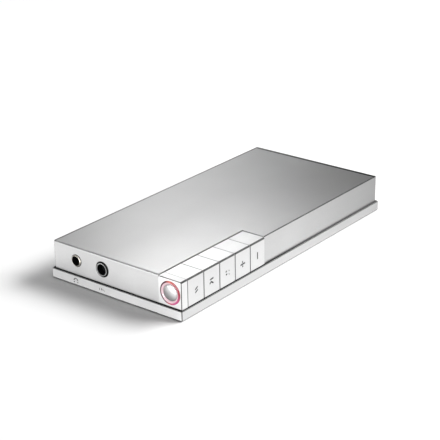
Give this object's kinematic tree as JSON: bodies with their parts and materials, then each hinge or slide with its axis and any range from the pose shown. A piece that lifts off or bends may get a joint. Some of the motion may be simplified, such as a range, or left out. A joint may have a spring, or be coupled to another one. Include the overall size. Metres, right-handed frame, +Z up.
{
  "type": "portable hi-fi music player",
  "caption": "Slim metal pocket player and headphone amplifier: flat case on a base plate, front headphone sockets, side keys and a lit power button.",
  "frame": {"origin": "middle of the base plate's underside", "axes": "+Z up, -Y the short front end with the sockets and power button, +X the side with the keys"},
  "size_m": [0.0638, 0.1298, 0.0154],
  "materials": {
    "case_metal": "fine bead-blasted, satin",
    "plate_metal": "fine bead-blasted, satin",
    "key_metal": "bright satin",
    "seal_rubber": "matt black",
    "lit_lens": "frosted red, lit from behind",
    "button_metal": "polished dome",
    "socket_metal": "bright",
    "black_plastic": "moulded black",
    "contact_metal": "gold plated",
    "board": "green solder mask",
    "chip": "moulded epoxy",
    "steel": "dark zinc",
    "shield": "bright tin plate",
    "can_metal": "satin can",
    "cell_foil": "pouch foil",
    "tape": "double-sided film",
    "foam": "open foam",
    "red_wire": "silicone insulation",
    "black_wire": "silicone insulation",
    "white_plastic": "moulded",
    "flex_film": "amber film",
    "led": "clear lens"
  },
  "bodies": {
    "player": {"upper_case": "case_metal", "base_plate": "plate_metal", "base_seal": "seal_rubber", "base_screws": "steel", "end_cap": "key_metal", "end_cap_screws": "steel", "light_ring": "lit_lens", "power_switch": "chip", "power_board": "board", "power_leds": "led", "power_flex": "flex_film", "key_rail": "black_plastic", "key_rail_screws": "steel", "key_board": "board", "key_flex": "flex_film", "key_flex_socket": "white_plastic", "headphone_jack_ring": "socket_metal", "headphone_jack_body": "black_plastic", "headphone_jack_contacts": "contact_metal", "balanced_jack_bush": "black_plastic", "balanced_jack_body": "black_plastic", "balanced_jack_contacts": "contact_metal", "main_board": "board", "main_board_screws": "steel", "amplifier_chips": "chip", "amplifier_shield": "shield", "dac_chips": "chip", "clock_cans": "shield", "processor": "chip", "filter_capacitors": "can_metal", "battery": "cell_foil", "battery_tape": "tape", "battery_foam": "foam", "battery_lead_positive": "red_wire", "battery_lead_negative": "black_wire", "battery_plug": "white_plastic", "battery_socket": "white_plastic", "usb_board": "board", "usb_board_screws": "steel", "usb_shell": "shield", "usb_tongue": "black_plastic", "usb_ribbon": "white_plastic", "ribbon_sockets": "black_plastic", "play_key_switch": "chip", "previous_key_switch": "chip", "next_key_switch": "chip", "volume_up_key_switch": "chip", "volume_down_key_switch": "chip"},
    "play_key": {"play_key": "key_metal", "play_key_plunger": "black_plastic"},
    "previous_key": {"previous_key": "key_metal", "previous_key_plunger": "black_plastic"},
    "next_key": {"next_key": "key_metal", "next_key_plunger": "black_plastic"},
    "volume_up_key": {"volume_up_key": "key_metal", "volume_up_key_plunger": "black_plastic"},
    "volume_down_key": {"volume_down_key": "key_metal", "volume_down_key_plunger": "black_plastic"},
    "power_button": {"power_button": "button_metal", "power_plunger": "black_plastic"}
  },
  "joints": [
    {"name": "play_key_press", "type": "slide", "parent": "player", "child": "play_key", "axis": [-1, 0, 0], "range_m": [0, 0.0003], "stiffness_N_per_m": 4000},
    {"name": "previous_key_press", "type": "slide", "parent": "player", "child": "previous_key", "axis": [-1, 0, 0], "range_m": [0, 0.0003], "stiffness_N_per_m": 4000},
    {"name": "next_key_press", "type": "slide", "parent": "player", "child": "next_key", "axis": [-1, 0, 0], "range_m": [0, 0.0003], "stiffness_N_per_m": 4000},
    {"name": "volume_up_key_press", "type": "slide", "parent": "player", "child": "volume_up_key", "axis": [-1, 0, 0], "range_m": [0, 0.0003], "stiffness_N_per_m": 4000},
    {"name": "volume_down_key_press", "type": "slide", "parent": "player", "child": "volume_down_key", "axis": [-1, 0, 0], "range_m": [0, 0.0003], "stiffness_N_per_m": 4000},
    {"name": "power_button_press", "type": "slide", "parent": "player", "child": "power_button", "axis": [0, 1, 0], "range_m": [0, 0.0003], "stiffness_N_per_m": 4000}
  ]
}
